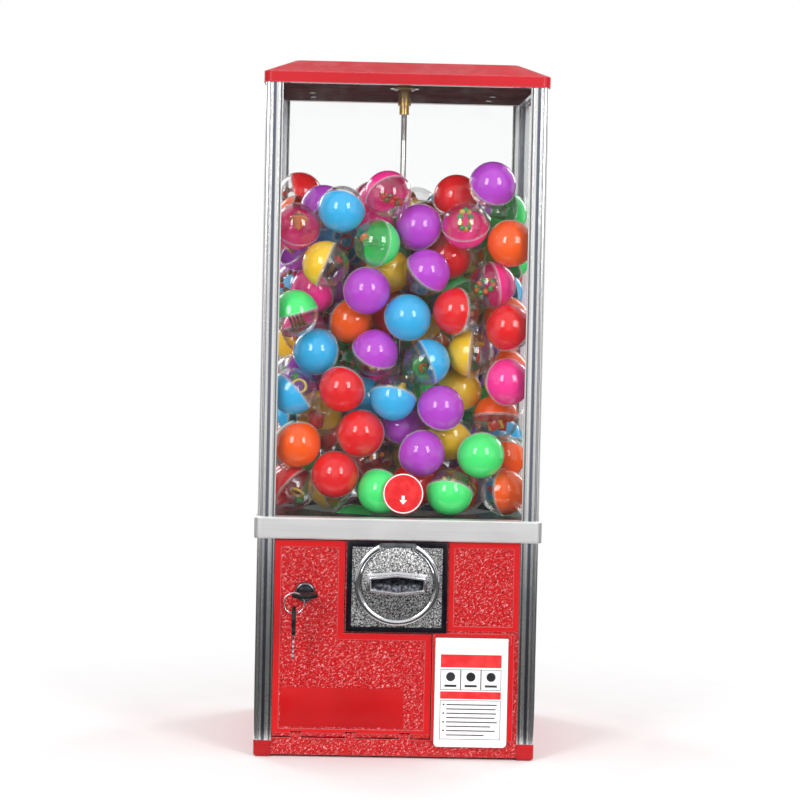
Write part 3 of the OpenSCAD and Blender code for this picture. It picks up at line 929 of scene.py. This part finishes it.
@dataclass
class Capsule:
    """One toy capsule: a solid-coloured cup, a clear dome with a lip over the seam, and a prize."""

    radius: float = 22.28 * MM
    shell: float = 21.9 * MM
    wall: float = 1.0 * MM
    lip: tuple[float, float] = (-1.7 * MM, 1.2 * MM)
    steps: int = 28
    rows: int = 7
    beads_in_ring: int = 10
    bead: float = 2.9 * MM
    bead_reach: float = 9.0 * MM
    hoop_reach: float = 6.5 * MM
    hoop_wire: float = 1.3 * MM
    coil_reach: float = 7.5 * MM
    coil_wire: float = 1.1 * MM
    coil_turns: int = 4
    coil_start: float = -7.0 * MM
    coil_step: float = 0.22 * MM

    def cup(self) -> bpy.types.Mesh:
        """The coloured half, open downwards.

        Returns:
            The mesh.
        """
        profile = arc(self.shell, 90, 0, self.rows) + arc(self.shell - self.wall, 0, 90, self.rows - 2)
        profile[0], profile[-1] = (0.0, profile[0][1]), (0.0, profile[-1][1])
        return Shape().lathe(profile, self.steps).mesh("cup")

    def dome(self) -> bpy.types.Mesh:
        """The clear half, open upwards, with its lip in the second slot.

        Returns:
            The mesh.
        """
        low, high = self.lip
        inner = arc(self.shell - self.wall, 0, -90, self.rows - 2)
        skirt = [(self.radius, low), (self.radius, low * 0.5), (self.radius - 0.25 * MM, low * 0.3),
                 (self.radius - 0.25 * MM, high * 0.4), (self.radius, high * 0.6), (self.radius, high),
                 (self.shell + 0.04 * MM, high), (self.shell + 0.04 * MM, 0.0)]
        profile = arc(self.shell, -90, -6, self.rows) + skirt + inner
        profile[0], profile[-1] = (0.0, profile[0][1]), (0.0, profile[-1][1])
        shape = Shape().lathe(profile, self.steps)
        for face in shape.bm.faces:
            centre = face.calc_center_median()
            if low * 1.1 < centre.z and centre.xy.length > self.shell * 0.985:
                face.material_index = 1
        return shape.mesh("dome")

    def prizes(self) -> list[bpy.types.Mesh]:
        """The small toys that go in the clear half."""
        return [self.beads(), self.ring(), self.coil(), self.bricks(), self.top()]

    def beads(self) -> bpy.types.Mesh:
        """A bracelet of beads.

        Returns:
            The mesh.
        """
        shape = Shape()
        out = Matrix.Translation((self.bead_reach, 0.0, 0.0))
        for k in range(self.beads_in_ring):
            turn = Matrix.Rotation(math.tau * k / self.beads_in_ring, 4, "Z")
            made = bmesh.ops.create_uvsphere(shape.bm, u_segments=8, v_segments=5, radius=self.bead)
            shape.added(made["verts"], turn @ out, k % 2)
        return shape.mesh("beads", 80.0)

    def ring(self) -> bpy.types.Mesh:
        """A toy ring with a cut stone.

        Returns:
            The mesh.
        """
        hoop = [(self.hoop_reach + r, z) for r, z in arc(self.hoop_wire, 0, 315, 7)]
        shape = Shape().lathe(hoop, 20, True, Matrix.Rotation(math.pi / 2, 4, "X"))
        gem = [(0.0, 5.0 * MM), (3.0 * MM, 5.0 * MM), (5.0 * MM, 3.0 * MM), (0.0, -1.5 * MM)]
        return shape.lathe(gem, 8, False, Matrix.Translation((0.0, 0.0, 7.4 * MM)), 1).mesh("ring", 20.0)

    def coil(self) -> bpy.types.Mesh:
        """A springy coil.

        Returns:
            The mesh.
        """
        shape = Shape()
        made = bmesh.ops.create_circle(shape.bm, cap_ends=True, segments=6, radius=self.coil_wire)
        start = Matrix.Translation((self.coil_reach, 0.0, self.coil_start))
        stand = start @ Matrix.Rotation(math.pi / 2, 4, "X")
        bmesh.ops.transform(shape.bm, matrix=stand, verts=made["verts"])
        bmesh.ops.spin(shape.bm, geom=list(shape.bm.faces), cent=(0, 0, 0), axis=(0, 0, 1),
                       dvec=(0.0, 0.0, self.coil_step), angle=self.coil_turns * math.tau,
                       steps=16 * self.coil_turns, use_duplicate=False)
        bmesh.ops.recalc_face_normals(shape.bm, faces=shape.bm.faces)
        return shape.mesh("coil", 70.0)

    def bricks(self) -> bpy.types.Mesh:
        """Three stacked building bricks.

        Returns:
            The mesh.
        """
        shape = Shape()
        for k, width in enumerate((9.0, 7.0, 4.5)):
            part = Shape().cuboid((-width * MM, -4.0 * MM, (5 * k - 8) * MM),
                                  (width * MM, 4.0 * MM, (5 * k - 3.2) * MM), 0.5 * MM)
            shape.join(part.bm, Matrix.Rotation(0.4 * k, 4, "Z"), k % 2)
        return shape.mesh("bricks", 30.0)

    def top(self) -> bpy.types.Mesh:
        """A spinning top.

        Returns:
            The mesh.
        """
        low = [(0.0, -9 * MM), (1.6 * MM, -7 * MM), (8.5 * MM, 0.0), (9.5 * MM, 2 * MM), (8.5 * MM, 4 * MM),
               (2.0 * MM, 5.5 * MM), (1.6 * MM, 10 * MM), (0.0, 10.6 * MM)]
        hub = [(0.0, 5.2 * MM), (4.2 * MM, 5.2 * MM), (4.2 * MM, 6.8 * MM), (0.0, 6.8 * MM)]
        return Shape().lathe(low, 14).lathe(hub, 14, slot=1).mesh("top", 50.0)


@dataclass
class Pile:
    """Every capsule behind the panes and in the wheel, turned this way and that."""

    capsule: Capsule = field(default_factory=Capsule)
    seed: int = 11
    outward_share: float = 0.52
    loose: float = 0.62
    lift: float = 0.15
    prize_drop: float = 7.0 * MM

    def centres(self, node: str) -> list[Vector]:
        """Finds the separate balls of a CAD node, from the lowest up.

        Args:
            node: The CAD node.

        Returns:
            Their middles.
        """
        bm = bmesh.new()
        bm.from_mesh(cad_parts[node].data)
        bmesh.ops.remove_doubles(bm, verts=bm.verts, dist=0.01 * MM)
        seen: set[bmesh.types.BMVert] = set()
        found = []
        for start in bm.verts:
            if start in seen:
                continue
            island, queue = [], [start]
            seen.add(start)
            while queue:
                vert = queue.pop()
                island.append(vert.co.copy())
                for edge in vert.link_edges:
                    other = edge.other_vert(vert)
                    if other not in seen:
                        seen.add(other)
                        queue.append(other)
            sides = [sorted(p[a] for p in island) for a in range(3)]
            found.append(Vector([(side[0] + side[-1]) / 2 for side in sides]))
        bm.free()
        return sorted(found, key=lambda c: (c.z, c.x))

    def pose(self, centre: Vector, draw: random.Random) -> Matrix:
        """Where one capsule stands and which way its coloured half faces.

        Args:
            centre: Its middle.
            draw: The random draws.

        Returns:
            Its place and turn.
        """
        stray = Vector([draw.gauss(0.0, 1.0) for _ in range(3)]).normalized()
        side = 0 if abs(centre.x) > abs(centre.y) else 1
        outward = Vector((0.0, 0.0, 0.0))
        outward[side] = math.copysign(1.0, centre[side])
        if draw.random() < self.outward_share:
            stray = (outward + Vector((0.0, 0.0, self.lift)) + stray * self.loose).normalized()
        turn = Vector((0.0, 0.0, 1.0)).rotation_difference(stray).to_matrix().to_4x4()
        return Matrix.Translation(centre) @ turn @ Matrix.Rotation(draw.uniform(0, math.tau), 4, "Z")

    def build(self, node: str, body: str, slot: str, tints: Sequence[Tint]) -> None:
        """Stands finished capsules in for one CAD node.

        Args:
            node: The CAD node with the plain balls.
            body: The body they move with.
            slot: The record's material slot.
            tints: Colours of the cups, dealt in turn.
        """
        draw = random.Random(f"{self.seed} {node}")
        cup, dome, prizes = self.capsule.cup(), self.capsule.dome(), self.capsule.prizes()
        cups, domes, toys = Shape(), Shape(), Shape()
        for k, centre in enumerate(self.centres(node)):
            pose = self.pose(centre, draw)
            self.copy(cup, cups, pose, k % len(tints))
            self.copy(dome, domes, pose, 0)
            sunk = pose @ Matrix.Translation((0.0, 0.0, -self.prize_drop))
            sunk = sunk @ Matrix.Rotation(draw.uniform(0, 6), 4, "Y")
            self.copy(draw.choice(prizes), toys, sunk @ Matrix.Rotation(draw.uniform(0, 6), 4, "X"),
                      draw.randrange(len(PRIZES)))
        cups_piece = cups.piece(f"{node}_cups", body, slot, *(tint.finish() for tint in tints))
        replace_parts(cups_piece, node)
        domes.piece(f"{node}_domes", body, "clear_pane", DOME, LIP)
        toys.piece(f"{node}_prizes", body, slot, *PRIZES, sharp=50.0)
        for template in (cup, dome, *prizes):
            bpy.data.meshes.remove(template)

    @staticmethod
    def copy(template: bpy.types.Mesh, into: Shape, pose: Matrix, slot: int) -> None:
        """Adds a placed copy of a mesh, its material slots moved on by a number.

        Args:
            template: The mesh.
            into: The shape that takes the copy.
            pose: Where it is placed.
            slot: How far its material slots move on.
        """
        made = template.copy()
        made.transform(pose)
        if slot:
            for polygon in made.polygons:
                polygon.material_index = (polygon.material_index + slot) % len(PRIZES)
        into.bm.from_mesh(made)
        bpy.data.meshes.remove(made)


@dataclass
class Cabinet:
    """Posts, band, panels, base and the screws at the back."""

    screw_radius: float = 3.0 * MM
    screw_x: float = 103.0 * MM
    screw_z: Point = (30.0 * MM, 190.0 * MM)
    head: float = 0.7 * MM
    recess: Point = (1.7 * MM, 0.3 * MM)
    recess_depth: Point = (0.2 * MM, 0.74 * MM)

    def build(self) -> None:
        """Dresses the cabinet's nodes and adds domed screw heads."""
        dress(POSTS, "corner_posts")
        dress(SATIN, "waist_band")
        dress(GRAINED, "panel_left", "panel_right", "panel_rear", "panel_front", "base_pan")
        dress(ZINC, "coin_box", "lock_keeper", "mech_back_plate", "coin_guide", "cabinet_screws")
        dress(STEEL, "hinge_pins")
        dress(BLACK, "chute_tube", "outlet_chute", "hopper")
        softened("base_feet", "cabinet", "red_plastic", 0.7 * MM, SHADED_RED_PAINT)
        self.screws()

    def screws(self) -> None:
        """Domed heads on the rear panel's screws, with black bars as painted shade in each cross recess."""
        _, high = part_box("cabinet_screws")
        heads, marks = Shape(), Shape()
        (long, wide), (deep, top) = self.recess, self.recess_depth
        dome = [(self.screw_radius, 0.0)] + [
            (r, z * self.head / self.screw_radius) for r, z in arc(self.screw_radius * 0.96, 12, 90, 5)]
        dome[-1] = (0.0, dome[-1][1])
        for x in (-self.screw_x, self.screw_x):
            for z in self.screw_z:
                stand = Matrix.Translation((x, high.y, z)) @ Matrix.Rotation(-math.pi / 2, 4, "X")
                heads.lathe([(0.0, 0.0)] + dome, 24, False, stand)
                # painted shade: two black bars cross in each head where its recess would lie in shade
                for turn in (math.pi / 4, -math.pi / 4):
                    part = Shape().cuboid((-long, -wide, deep), (long, wide, top))
                    marks.join(part.bm, stand @ Matrix.Rotation(turn, 4, "Z"))
        heads.piece("rear_screw_heads", "cabinet", "zinc_steel", STEEL)
        marks.piece("rear_screw_recesses", "cabinet", "black_plastic", BLACK)


@dataclass
class Globe:
    """Panes, top rails, centre rod, wheel and the round sticker."""

    thread_low: float = 574.0 * MM
    thread_high: float = 599.0 * MM
    pitch: float = 1.0 * MM
    crest: float = 2.95 * MM
    root: float = 2.5 * MM
    ink: float = 0.06 * MM
    ring_inset: float = 0.5 * MM
    ring_width: float = 0.9 * MM
    arrow: float = 3.4 * MM
    arrow_drop: float = 6.0 * MM

    def build(self) -> None:
        """Dresses the globe's nodes and adds the thread and the sticker's print."""
        dress(PANE, "pane_front", "pane_left", "pane_rear", "pane_right")
        dress(CHROME, "top_rails")
        dress(ROD, "centre_rod")
        dress(BRASS, "rod_nuts")
        dress(GREY, "capsule_wheel")
        dress(STICKER, "round_sticker")
        self.thread()
        self.sticker()

    def thread(self) -> None:
        """The rod's threaded top."""
        turns = round((self.thread_high - self.thread_low) / self.pitch)
        teeth = [(self.crest if half else self.root, self.thread_low + (k + half / 2) * self.pitch)
                 for k in range(turns) for half in (0, 1)]
        profile = [(0.0, self.thread_low)] + teeth + [(0.0, self.thread_high)]
        Shape().lathe(profile, 20).piece("rod_thread", "cabinet", "zinc_steel", ROD, sharp=25.0)

    def sticker(self) -> None:
        """A plain ring and a down arrow on the round sticker."""
        low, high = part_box("round_sticker")
        middle = (low + high) / 2
        stand = Matrix.Translation((middle.x, low.y, middle.z)) @ Matrix.Rotation(math.pi / 2, 4, "X")
        edge = (high.x - low.x) / 2 - self.ring_inset
        inner = edge - self.ring_width
        ring = [(edge, 0.0), (edge, self.ink), (inner, self.ink), (inner, 0.0)]
        a = self.arrow
        outline = [(-0.4 * a, 1.2 * a), (-0.4 * a, 0.0), (-a, 0.0), (0.0, -1.2 * a),
                   (a, 0.0), (0.4 * a, 0.0), (0.4 * a, 1.2 * a)]
        down = Matrix.Translation((middle.x, 0.0, middle.z - self.arrow_drop))
        marks = Shape().lathe(ring, 48, True, stand).plate(outline, low.y, self.ink, down)
        marks.piece("sticker_marks", "cabinet", "sticker_red", INK_WHITE)


@dataclass
class CoinDrive:
    """The coin mechanism's front and the parts that turn with its knob."""

    axis: tuple[float, float, float] = (0.0, 0.0, 162.5 * MM)
    ring_inner: float = 33.7 * MM
    ring_outer: float = 39.1 * MM
    ring_back: float = -134.4 * MM
    ring_crown: float = 1.3 * MM
    ring_gap: float = 27.2

    def build(self) -> None:
        """Dresses the mechanism and crowns its guard ring."""
        dress(CAST_FACE, "mech_face")
        dress(ZINC, "mech_housing", "ratchet_wheel", "ratchet_pawl")
        dress(BRASS, "coin_wheel", "drive_pinion")
        dress(STEEL, "drive_shaft")
        softened("mech_frame", "cabinet", "black_plastic", 0.5 * MM, FRAME_BLACK)
        softened("knob_disc", "coin_drive", "cast_zinc", 0.5 * MM, CAST_DISC)
        softened("knob_handle", "coin_drive", "cast_zinc", 0.6 * MM, HANDLE)
        self.guard_ring()

    def guard_ring(self) -> None:
        """The polished, crowned front of the guard ring, open at the top."""
        middle, half = (self.ring_inner + self.ring_outer) / 2, (self.ring_outer - self.ring_inner) / 2
        crown = [(middle + x, self.ring_back - y * self.ring_crown / half) for x, y in arc(half, 0, 180, 8)]
        shape = Shape()
        verts = [shape.bm.verts.new((r, y, 0.0)) for r, y in crown]
        start = shape.bm.faces.new(verts)
        turn = Matrix.Rotation(-math.radians(90.0 + self.ring_gap), 4, "Y")
        bmesh.ops.transform(shape.bm, matrix=turn, verts=verts)
        bmesh.ops.spin(shape.bm, geom=[start], cent=(0, 0, 0), axis=(0, -1, 0), dvec=(0, 0, 0),
                       angle=math.radians(360.0 - 2 * self.ring_gap), steps=72, use_duplicate=False)
        bmesh.ops.recalc_face_normals(shape.bm, faces=shape.bm.faces)
        bmesh.ops.translate(shape.bm, vec=self.axis, verts=shape.bm.verts)
        shape.piece("guard_ring_crown", "cabinet", "cast_zinc", CHROME, sharp=50.0)


@dataclass
class Flap:
    """The white chute flap and the plain print on it: two bands, three boxes and a note."""

    face: float = -131.0 * MM
    ink: float = 0.08 * MM
    line: float = 0.45 * MM
    left: float = 41.7 * MM
    right: float = 97.5 * MM
    bands: tuple[Point, ...] = ((85.6 * MM, 97.5 * MM), (56.6 * MM, 63.4 * MM))
    box: Point = (64.8 * MM, 83.8 * MM)
    disc_radius: float = 4.2 * MM
    disc_height: float = 77.0 * MM
    bar: Point = (67.6 * MM, 69.6 * MM)
    bar_half: float = 5.5 * MM
    note: Point = (19.2 * MM, 55.4 * MM)
    rows: int = 8
    first_row: float = 50.6 * MM
    row_pitch: float = 4.0 * MM
    bullet: tuple[float, float, float] = (2.6 * MM, 4.2 * MM, 1.4 * MM)
    indent: float = 6.0 * MM
    row_edge: Point = (0.15 * MM, 1.15 * MM)
    seed: int = 4

    def build(self) -> None:
        """Softens the flap and prints it."""
        softened("chute_flap", "chute_flap", "white_plastic", 0.8 * MM, WHITE)
        bands, lines = Shape(), Shape()
        for low, high in self.bands:
            self.mark(bands, (self.left, low), (self.right, high))
        bands.piece("flap_bands", "chute_flap", "sticker_red", INK_RED)
        for k in range(3):
            self.frame(lines, (self.column(k), self.box[0]), (self.column(k + 1), self.box[1]))
        self.frame(lines, (self.left, self.note[0]), (self.right, self.note[1]))
        self.bars(lines)
        self.symbols(lines)
        lines.piece("flap_lines", "chute_flap", "white_plastic", INK_DARK)

    def column(self, boxes: float) -> float:
        """A place across the print, counted in boxes from its left edge."""
        return self.left + boxes * (self.right - self.left) / 3

    def mark(self, shape: Shape, low: Point, high: Point) -> None:
        """Prints a plain rectangle between two corners."""
        shape.cuboid((low[0], self.face - self.ink, low[1]), (high[0], self.face, high[1]))

    def frame(self, shape: Shape, low: Point, high: Point) -> None:
        """Prints a thin frame between two corners."""
        shape.outline_frame(low, high, self.line, self.face, self.ink)

    def bars(self, lines: Shape) -> None:
        """Prints the note's rows as plain bars, every other one with a bullet.

        Args:
            lines: The dark print.
        """
        draw = random.Random(self.seed)
        near, far, tall = self.bullet
        for row in range(self.rows):
            z = self.first_row - self.row_pitch * row
            if row % 2 == 0:
                self.mark(lines, (self.left + near, z), (self.left + far, z + tall))
            end = self.right - draw.uniform(3.0, 18.0 if row % 2 else 5.0) * MM
            self.mark(lines, (self.left + self.indent, z + self.row_edge[0]), (end, z + self.row_edge[1]))

    def symbols(self, lines: Shape) -> None:
        """Prints a disc over a short bar in each box.

        Args:
            lines: The dark print.
        """
        disc = [(0.0, 0.0), (self.disc_radius, 0.0), (self.disc_radius, self.ink), (0.0, self.ink)]
        forward = Matrix.Rotation(math.pi / 2, 4, "X")
        for k in range(3):
            x = self.column(k + 0.5)
            lines.lathe(disc, 28, False, Matrix.Translation((x, self.face, self.disc_height)) @ forward)
            self.mark(lines, (x - self.bar_half, self.bar[0]), (x + self.bar_half, self.bar[1]))


@dataclass
class CashDoor:
    """The grained door, its label plate, lock, keys and ring."""

    bow_end: float = -137.4 * MM
    spare_bow_end: float = 116.2 * MM

    def build(self) -> None:
        """Dresses the door and softens the lock and keys."""
        dress(GRAINED, "cash_door")
        dress(ZINC, "lock_nut", "lock_cam")
        dress(CHROME, "key_ring")
        softened("label_plate", "cash_door", "red_plastic", 0.15 * MM, SHADED_LABEL_PAINT)
        softened("lock_body", "cash_door", "chromed_metal", 0.5 * MM, BEZEL)
        softened("lock_plug", "lock_plug", "chromed_metal", 0.3 * MM, PLUG_STEEL)
        softened("door_key", "door_key", "black_plastic", 0.4 * MM,
                 TwoPart("door_key", BLACK, STEEL, 1, self.bow_end))
        softened("spare_key", "spare_key", "black_plastic", 0.4 * MM,
                 TwoPart("spare_key", STEEL, BLACK, 2, self.spare_bow_end))


@dataclass
class Lid:
    """The bevelled lid with its liner, screws and lock."""

    def build(self) -> None:
        """Dresses the lid."""
        dress(LID_PAINT, "lid_shell")
        dress(LINER_SHADE_PAINT, "lid_liner")
        dress(CHROME, "lid_screws", "lid_lock_plug")
        dress(BRASS, "lid_lock_barrel")


# ---- camera, light and floor ----


@dataclass
class Camera:
    """A long lens from just left of the middle, a little below the top of the machine."""

    place: tuple[float, float, float] = (-0.0507, -2.4014, 0.4473)
    turn: float = 1.23
    dip: float = 1.799
    roll: float = 1.241
    lens: float = 111.9
    sensor: float = 36.0
    shift: float = -0.0625

    def build(self) -> None:
        """Makes the scene's camera."""
        data = bpy.data.cameras.new("camera")
        data.lens = self.lens
        data.sensor_width = self.sensor
        data.shift_y = self.shift
        made = bpy.data.objects.new("camera", data)
        bpy.context.scene.collection.objects.link(made)
        made.matrix_world = (Matrix.Translation(self.place)
                             @ Matrix.Rotation(math.radians(-self.turn), 4, "Z")
                             @ Matrix.Rotation(math.radians(90.0 - self.dip), 4, "X")
                             @ Matrix.Rotation(math.radians(self.roll), 4, "Z"))
        bpy.context.scene.camera = made
        log.info("camera: %.1f mm", self.lens)


@dataclass
class Studio:
    """White surroundings with darker patches for the metal to mirror, two tall lamps and a floor."""

    lamp_power: float = 13.0
    lamp_size: tuple[float, float] = (0.5, 0.95)
    lamp_reach: float = 1.95
    lamp_turn: float = 30.0
    lamp_rise: float = 20.0
    rear_turn: float = 40.0
    rear_rise: float = 25.0
    rear_share: float = 0.6
    aim: float = 0.33
    bright: float = 0.86
    dim: float = 0.14
    stripes: float = 6.0
    floor_half: float = 6.0
    floor_drop: float = 0.2 * MM
    floor_fade: Point = (0.35, 0.75)
    ring_reach: Point = (0.25, 2.0)
    ring_height: Point = (1.0 * MM, 2.0 * MM)

    def build(self) -> None:
        """Makes the world, the lamps and the floor."""
        scene = bpy.context.scene
        scene.view_settings.view_transform = "Standard"
        scene.cycles.transparent_max_bounces = 64
        scene.cycles.max_bounces = 8
        self.world(scene)
        for side in (-1, 1):
            self.lamp(f"lamp_{side}", side * self.lamp_turn, self.lamp_rise, self.lamp_power)
        for side in (-1, 1):
            self.lamp(f"rear_{side}", 180.0 + side * self.rear_turn, self.rear_rise,
                      self.lamp_power * self.rear_share)
        self.floor()

    def lamp(self, name: str, turn: float, rise: float, power: float) -> None:
        """Adds a tall rectangular lamp aimed at the machine.

        Args:
            name: The lamp's name.
            turn: Degrees round the machine from its front.
            rise: Degrees above the machine's middle.
            power: Watts.
        """
        data = bpy.data.lights.new(name, "AREA")
        data.shape = "RECTANGLE"
        data.size, data.size_y = self.lamp_size
        data.energy = power
        made = bpy.data.objects.new(name, data)
        bpy.context.scene.collection.objects.link(made)
        a, e = math.radians(turn), math.radians(rise)
        back = Vector((math.sin(a) * math.cos(e), -math.cos(a) * math.cos(e), math.sin(e)))
        made.location = Vector((0.0, 0.0, self.aim)) + back * self.lamp_reach
        made.rotation_euler = (-back).to_track_quat("-Z", "Y").to_euler()

    def world(self, scene: bpy.types.Scene) -> None:
        """White to the eye, and striped with dimmer patches for light and mirror images.

        Args:
            scene: The scene it lights.
        """
        world = bpy.data.worlds.new("studio")
        scene.world = world
        world.use_nodes = True
        graph = Graph(world.node_tree)
        x, y, z = graph.axes(graph.out("ShaderNodeTexCoord", output="Generated"))
        round_about = (x * -1.0).math("ARCTAN2", y * -1.0)
        stripes = graph.span((round_about * self.stripes).math("COSINE"), 0.1, -0.5)
        low = graph.span(z, 0.7, 0.4)
        patches = graph.mix(stripes * low, tone(self.bright), tone(self.dim))
        seen = graph.out("ShaderNodeLightPath", output="Is Camera Ray")
        light = graph.out("ShaderNodeBackground", None, {"Color": patches})
        white = graph.out("ShaderNodeBackground", None, {"Color": tone(1.0)})
        graph.node("ShaderNodeOutputWorld", inputs={"Surface": graph.blend(seen, light, white)})

    def floor(self) -> None:
        """A plain pale floor, and a dark ring on it that only mirrors see."""
        floor = Shape()
        bmesh.ops.create_grid(floor.bm, x_segments=1, y_segments=1, size=self.floor_half)
        bmesh.ops.translate(floor.bm, vec=(0.0, 0.0, -self.floor_drop), verts=floor.bm.verts)
        made = bpy.data.objects.new("floor", floor.mesh("floor"))
        made.data.materials.append(StudioFloor("floor", self.floor_fade).material())
        (near, far), (low, high) = self.ring_reach, self.ring_height
        ring = Shape().lathe([(near, low), (far, low), (far, high), (near, high)], 48, True)
        dark = bpy.data.objects.new("mirror_ring", ring.mesh("mirror_ring"))
        dark.data.materials.append(Plastic("mirror_ring", tone(0.02), 0.9).material())
        dark.visible_camera = dark.visible_diffuse = dark.visible_shadow = dark.visible_transmission = False
        for stage in (made, dark):
            bpy.context.scene.collection.objects.link(stage)


def main() -> None:
    """Builds the camera, every sub-assembly and the studio."""
    logging.basicConfig(level=logging.INFO, format="%(message)s")
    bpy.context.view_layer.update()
    for assembly in (Camera(), Cabinet(), Globe(), CoinDrive(), Flap(), CashDoor(), Lid()):
        assembly.build()
    pile = Pile()
    for tint in Tint:
        pile.build(f"capsules_{tint.label}", "cabinet", f"capsule_{tint.label}", [tint])
    pile.build("pocket_capsules", "capsule_wheel", "capsule_pink", [Tint.PINK, Tint.GREEN, Tint.BLUE])
    Studio().build()


if __name__ == "__main__":
    main()
